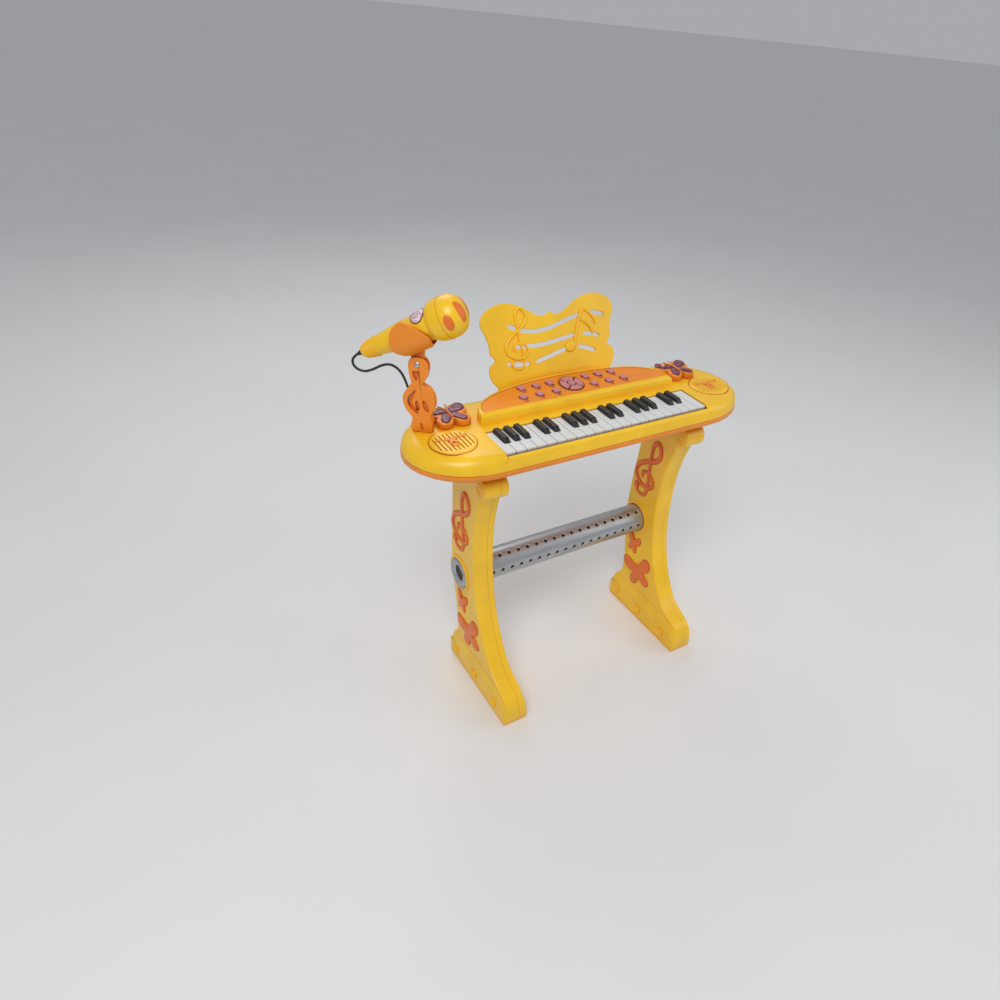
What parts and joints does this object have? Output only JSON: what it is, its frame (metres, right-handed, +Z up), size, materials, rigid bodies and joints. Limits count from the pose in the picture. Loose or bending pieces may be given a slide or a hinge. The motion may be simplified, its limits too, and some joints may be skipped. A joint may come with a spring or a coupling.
{
  "type": "toy electronic keyboard",
  "caption": "Child's electronic keyboard on two legs joined by a perforated tube, with a butterfly music stand and a tethered microphone in a tilting cradle",
  "frame": {"origin": "on the floor, in the middle of the object's plan without the microphone's cord", "axes": "+Z up; +Y away from the player, towards the music stand; +X to the player's right"},
  "size_m": [0.5119, 0.2287, 0.5573],
  "materials": {
    "yellow_plastic": "moulded plastic with a satin gloss",
    "orange_plastic": "moulded plastic with a satin gloss",
    "white_plastic": "moulded plastic with a satin gloss",
    "black_plastic": "glossy moulded plastic",
    "pink_silicone": "soft matt silicone rubber",
    "silver_tube": "silver, lightly brushed",
    "pin_steel": "plain turned steel",
    "board_laminate": "matt circuit board laminate",
    "cord_rubber": "matt rubber sheath"
  },
  "bodies": {
    "keyboard": {"upper_case": "yellow_plastic", "lower_case": "orange_plastic", "battery_cover": "orange_plastic", "circuit_board": "board_laminate", "control_panel": "orange_plastic", "left_lamp": "orange_plastic", "right_lamp": "orange_plastic", "left_leg_shell": "yellow_plastic", "left_leg_cover": "yellow_plastic", "right_leg_shell": "yellow_plastic", "right_leg_cover": "yellow_plastic", "cross_tube": "silver_tube", "mic_holder": "orange_plastic", "cradle_pin": "pin_steel"},
    "power": {"power_button": "pink_silicone"},
    "dial": {"mode_dial": "pink_silicone"},
    "left_mat": {"left_button_mat": "pink_silicone"},
    "right_mat": {"right_button_mat": "pink_silicone"},
    "stand": {"music_stand": "yellow_plastic"},
    "cradle": {"mic_cradle": "orange_plastic"},
    "microphone": {"mic_body": "yellow_plastic", "mic_head": "yellow_plastic", "mic_cord": "cord_rubber"},
    "white_01": {"white_key_01": "white_plastic"},
    "white_02": {"white_key_02": "white_plastic"},
    "white_03": {"white_key_03": "white_plastic"},
    "white_04": {"white_key_04": "white_plastic"},
    "white_05": {"white_key_05": "white_plastic"},
    "white_06": {"white_key_06": "white_plastic"},
    "white_07": {"white_key_07": "white_plastic"},
    "white_08": {"white_key_08": "white_plastic"},
    "white_09": {"white_key_09": "white_plastic"},
    "white_10": {"white_key_10": "white_plastic"},
    "white_11": {"white_key_11": "white_plastic"},
    "white_12": {"white_key_12": "white_plastic"},
    "white_13": {"white_key_13": "white_plastic"},
    "white_14": {"white_key_14": "white_plastic"},
    "white_15": {"white_key_15": "white_plastic"},
    "white_16": {"white_key_16": "white_plastic"},
    "white_17": {"white_key_17": "white_plastic"},
    "white_18": {"white_key_18": "white_plastic"},
    "white_19": {"white_key_19": "white_plastic"},
    "white_20": {"white_key_20": "white_plastic"},
    "white_21": {"white_key_21": "white_plastic"},
    "white_22": {"white_key_22": "white_plastic"},
    "black_01": {"black_key_01": "black_plastic"},
    "black_02": {"black_key_02": "black_plastic"},
    "black_03": {"black_key_03": "black_plastic"},
    "black_04": {"black_key_04": "black_plastic"},
    "black_05": {"black_key_05": "black_plastic"},
    "black_06": {"black_key_06": "black_plastic"},
    "black_07": {"black_key_07": "black_plastic"},
    "black_08": {"black_key_08": "black_plastic"},
    "black_09": {"black_key_09": "black_plastic"},
    "black_10": {"black_key_10": "black_plastic"},
    "black_11": {"black_key_11": "black_plastic"},
    "black_12": {"black_key_12": "black_plastic"},
    "black_13": {"black_key_13": "black_plastic"},
    "black_14": {"black_key_14": "black_plastic"},
    "black_15": {"black_key_15": "black_plastic"}
  },
  "joints": [
    {"name": "power_press", "type": "slide", "parent": "keyboard", "child": "power", "axis": [0, 0.1045, -0.9945], "range_m": [0, 0.0012], "stiffness_N_per_m": 300, "springref_m": -0.001},
    {"name": "dial_press", "type": "slide", "parent": "keyboard", "child": "dial", "axis": [0, 0.1045, -0.9945], "range_m": [0, 0.001], "stiffness_N_per_m": 300, "springref_m": -0.001},
    {"name": "left_mat_press", "type": "slide", "parent": "keyboard", "child": "left_mat", "axis": [0, 0.1045, -0.9945], "range_m": [0, 0.0012], "stiffness_N_per_m": 300, "springref_m": -0.001},
    {"name": "right_mat_press", "type": "slide", "parent": "keyboard", "child": "right_mat", "axis": [0, 0.1045, -0.9945], "range_m": [0, 0.0012], "stiffness_N_per_m": 300, "springref_m": -0.001},
    {"name": "stand_lift", "type": "slide", "parent": "keyboard", "child": "stand", "axis": [0, 0.342, 0.9397], "range_m": [0, 0.02]},
    {"name": "cradle_tilt", "type": "hinge", "parent": "keyboard", "child": "cradle", "pos_m": [-0.20245, 0.02959, 0.4825], "axis": [0.6428, 0.766, 0], "range_deg": [-20, 20]},
    {"name": "mic_lift", "type": "slide", "parent": "cradle", "child": "microphone", "axis": [-0.3502, 0.2938, 0.8894], "range_m": [0, 0.028]},
    {"name": "white_01_press", "type": "hinge", "parent": "keyboard", "child": "white_01", "pos_m": [-0.13275, 0.0127, 0.3965], "axis": [1, 0, 0], "range_deg": [0, 3], "stiffness_Nm_per_rad": 0.3, "springref_deg": -2.86},
    {"name": "white_02_press", "type": "hinge", "parent": "keyboard", "child": "white_02", "pos_m": [-0.11925, 0.0127, 0.3965], "axis": [1, 0, 0], "range_deg": [0, 3], "stiffness_Nm_per_rad": 0.3, "springref_deg": -2.86},
    {"name": "white_03_press", "type": "hinge", "parent": "keyboard", "child": "white_03", "pos_m": [-0.10575, 0.0127, 0.3965], "axis": [1, 0, 0], "range_deg": [0, 3], "stiffness_Nm_per_rad": 0.3, "springref_deg": -2.86},
    {"name": "white_04_press", "type": "hinge", "parent": "keyboard", "child": "white_04", "pos_m": [-0.09225, 0.0127, 0.3965], "axis": [1, 0, 0], "range_deg": [0, 3], "stiffness_Nm_per_rad": 0.3, "springref_deg": -2.86},
    {"name": "white_05_press", "type": "hinge", "parent": "keyboard", "child": "white_05", "pos_m": [-0.07875, 0.0127, 0.3965], "axis": [1, 0, 0], "range_deg": [0, 3], "stiffness_Nm_per_rad": 0.3, "springref_deg": -2.86},
    {"name": "white_06_press", "type": "hinge", "parent": "keyboard", "child": "white_06", "pos_m": [-0.06525, 0.0127, 0.3965], "axis": [1, 0, 0], "range_deg": [0, 3], "stiffness_Nm_per_rad": 0.3, "springref_deg": -2.86},
    {"name": "white_07_press", "type": "hinge", "parent": "keyboard", "child": "white_07", "pos_m": [-0.05175, 0.0127, 0.3965], "axis": [1, 0, 0], "range_deg": [0, 3], "stiffness_Nm_per_rad": 0.3, "springref_deg": -2.86},
    {"name": "white_08_press", "type": "hinge", "parent": "keyboard", "child": "white_08", "pos_m": [-0.03825, 0.0127, 0.3965], "axis": [1, 0, 0], "range_deg": [0, 3], "stiffness_Nm_per_rad": 0.3, "springref_deg": -2.86},
    {"name": "white_09_press", "type": "hinge", "parent": "keyboard", "child": "white_09", "pos_m": [-0.02475, 0.0127, 0.3965], "axis": [1, 0, 0], "range_deg": [0, 3], "stiffness_Nm_per_rad": 0.3, "springref_deg": -2.86},
    {"name": "white_10_press", "type": "hinge", "parent": "keyboard", "child": "white_10", "pos_m": [-0.01125, 0.0127, 0.3965], "axis": [1, 0, 0], "range_deg": [0, 3], "stiffness_Nm_per_rad": 0.3, "springref_deg": -2.86},
    {"name": "white_11_press", "type": "hinge", "parent": "keyboard", "child": "white_11", "pos_m": [0.00225, 0.0127, 0.3965], "axis": [1, 0, 0], "range_deg": [0, 3], "stiffness_Nm_per_rad": 0.3, "springref_deg": -2.86},
    {"name": "white_12_press", "type": "hinge", "parent": "keyboard", "child": "white_12", "pos_m": [0.01575, 0.0127, 0.3965], "axis": [1, 0, 0], "range_deg": [0, 3], "stiffness_Nm_per_rad": 0.3, "springref_deg": -2.86},
    {"name": "white_13_press", "type": "hinge", "parent": "keyboard", "child": "white_13", "pos_m": [0.02925, 0.0127, 0.3965], "axis": [1, 0, 0], "range_deg": [0, 3], "stiffness_Nm_per_rad": 0.3, "springref_deg": -2.86},
    {"name": "white_14_press", "type": "hinge", "parent": "keyboard", "child": "white_14", "pos_m": [0.04275, 0.0127, 0.3965], "axis": [1, 0, 0], "range_deg": [0, 3], "stiffness_Nm_per_rad": 0.3, "springref_deg": -2.86},
    {"name": "white_15_press", "type": "hinge", "parent": "keyboard", "child": "white_15", "pos_m": [0.05625, 0.0127, 0.3965], "axis": [1, 0, 0], "range_deg": [0, 3], "stiffness_Nm_per_rad": 0.3, "springref_deg": -2.86},
    {"name": "white_16_press", "type": "hinge", "parent": "keyboard", "child": "white_16", "pos_m": [0.06975, 0.0127, 0.3965], "axis": [1, 0, 0], "range_deg": [0, 3], "stiffness_Nm_per_rad": 0.3, "springref_deg": -2.86},
    {"name": "white_17_press", "type": "hinge", "parent": "keyboard", "child": "white_17", "pos_m": [0.08325, 0.0127, 0.3965], "axis": [1, 0, 0], "range_deg": [0, 3], "stiffness_Nm_per_rad": 0.3, "springref_deg": -2.86},
    {"name": "white_18_press", "type": "hinge", "parent": "keyboard", "child": "white_18", "pos_m": [0.09675, 0.0127, 0.3965], "axis": [1, 0, 0], "range_deg": [0, 3], "stiffness_Nm_per_rad": 0.3, "springref_deg": -2.86},
    {"name": "white_19_press", "type": "hinge", "parent": "keyboard", "child": "white_19", "pos_m": [0.11025, 0.0127, 0.3965], "axis": [1, 0, 0], "range_deg": [0, 3], "stiffness_Nm_per_rad": 0.3, "springref_deg": -2.86},
    {"name": "white_20_press", "type": "hinge", "parent": "keyboard", "child": "white_20", "pos_m": [0.12375, 0.0127, 0.3965], "axis": [1, 0, 0], "range_deg": [0, 3], "stiffness_Nm_per_rad": 0.3, "springref_deg": -2.86},
    {"name": "white_21_press", "type": "hinge", "parent": "keyboard", "child": "white_21", "pos_m": [0.13725, 0.0127, 0.3965], "axis": [1, 0, 0], "range_deg": [0, 3], "stiffness_Nm_per_rad": 0.3, "springref_deg": -2.86},
    {"name": "white_22_press", "type": "hinge", "parent": "keyboard", "child": "white_22", "pos_m": [0.15075, 0.0127, 0.3965], "axis": [1, 0, 0], "range_deg": [0, 3], "stiffness_Nm_per_rad": 0.3, "springref_deg": -2.86},
    {"name": "black_01_press", "type": "hinge", "parent": "keyboard", "child": "black_01", "pos_m": [-0.126, 0.0127, 0.3965], "axis": [1, 0, 0], "range_deg": [0, 3], "stiffness_Nm_per_rad": 0.3, "springref_deg": -2.86},
    {"name": "black_02_press", "type": "hinge", "parent": "keyboard", "child": "black_02", "pos_m": [-0.1125, 0.0127, 0.3965], "axis": [1, 0, 0], "range_deg": [0, 3], "stiffness_Nm_per_rad": 0.3, "springref_deg": -2.86},
    {"name": "black_03_press", "type": "hinge", "parent": "keyboard", "child": "black_03", "pos_m": [-0.099, 0.0127, 0.3965], "axis": [1, 0, 0], "range_deg": [0, 3], "stiffness_Nm_per_rad": 0.3, "springref_deg": -2.86},
    {"name": "black_04_press", "type": "hinge", "parent": "keyboard", "child": "black_04", "pos_m": [-0.072, 0.0127, 0.3965], "axis": [1, 0, 0], "range_deg": [0, 3], "stiffness_Nm_per_rad": 0.3, "springref_deg": -2.86},
    {"name": "black_05_press", "type": "hinge", "parent": "keyboard", "child": "black_05", "pos_m": [-0.0585, 0.0127, 0.3965], "axis": [1, 0, 0], "range_deg": [0, 3], "stiffness_Nm_per_rad": 0.3, "springref_deg": -2.86},
    {"name": "black_06_press", "type": "hinge", "parent": "keyboard", "child": "black_06", "pos_m": [-0.0315, 0.0127, 0.3965], "axis": [1, 0, 0], "range_deg": [0, 3], "stiffness_Nm_per_rad": 0.3, "springref_deg": -2.86},
    {"name": "black_07_press", "type": "hinge", "parent": "keyboard", "child": "black_07", "pos_m": [-0.018, 0.0127, 0.3965], "axis": [1, 0, 0], "range_deg": [0, 3], "stiffness_Nm_per_rad": 0.3, "springref_deg": -2.86},
    {"name": "black_08_press", "type": "hinge", "parent": "keyboard", "child": "black_08", "pos_m": [-0.0045, 0.0127, 0.3965], "axis": [1, 0, 0], "range_deg": [0, 3], "stiffness_Nm_per_rad": 0.3, "springref_deg": -2.86},
    {"name": "black_09_press", "type": "hinge", "parent": "keyboard", "child": "black_09", "pos_m": [0.0225, 0.0127, 0.3965], "axis": [1, 0, 0], "range_deg": [0, 3], "stiffness_Nm_per_rad": 0.3, "springref_deg": -2.86},
    {"name": "black_10_press", "type": "hinge", "parent": "keyboard", "child": "black_10", "pos_m": [0.036, 0.0127, 0.3965], "axis": [1, 0, 0], "range_deg": [0, 3], "stiffness_Nm_per_rad": 0.3, "springref_deg": -2.86},
    {"name": "black_11_press", "type": "hinge", "parent": "keyboard", "child": "black_11", "pos_m": [0.063, 0.0127, 0.3965], "axis": [1, 0, 0], "range_deg": [0, 3], "stiffness_Nm_per_rad": 0.3, "springref_deg": -2.86},
    {"name": "black_12_press", "type": "hinge", "parent": "keyboard", "child": "black_12", "pos_m": [0.0765, 0.0127, 0.3965], "axis": [1, 0, 0], "range_deg": [0, 3], "stiffness_Nm_per_rad": 0.3, "springref_deg": -2.86},
    {"name": "black_13_press", "type": "hinge", "parent": "keyboard", "child": "black_13", "pos_m": [0.09, 0.0127, 0.3965], "axis": [1, 0, 0], "range_deg": [0, 3], "stiffness_Nm_per_rad": 0.3, "springref_deg": -2.86},
    {"name": "black_14_press", "type": "hinge", "parent": "keyboard", "child": "black_14", "pos_m": [0.117, 0.0127, 0.3965], "axis": [1, 0, 0], "range_deg": [0, 3], "stiffness_Nm_per_rad": 0.3, "springref_deg": -2.86},
    {"name": "black_15_press", "type": "hinge", "parent": "keyboard", "child": "black_15", "pos_m": [0.1305, 0.0127, 0.3965], "axis": [1, 0, 0], "range_deg": [0, 3], "stiffness_Nm_per_rad": 0.3, "springref_deg": -2.86}
  ]
}
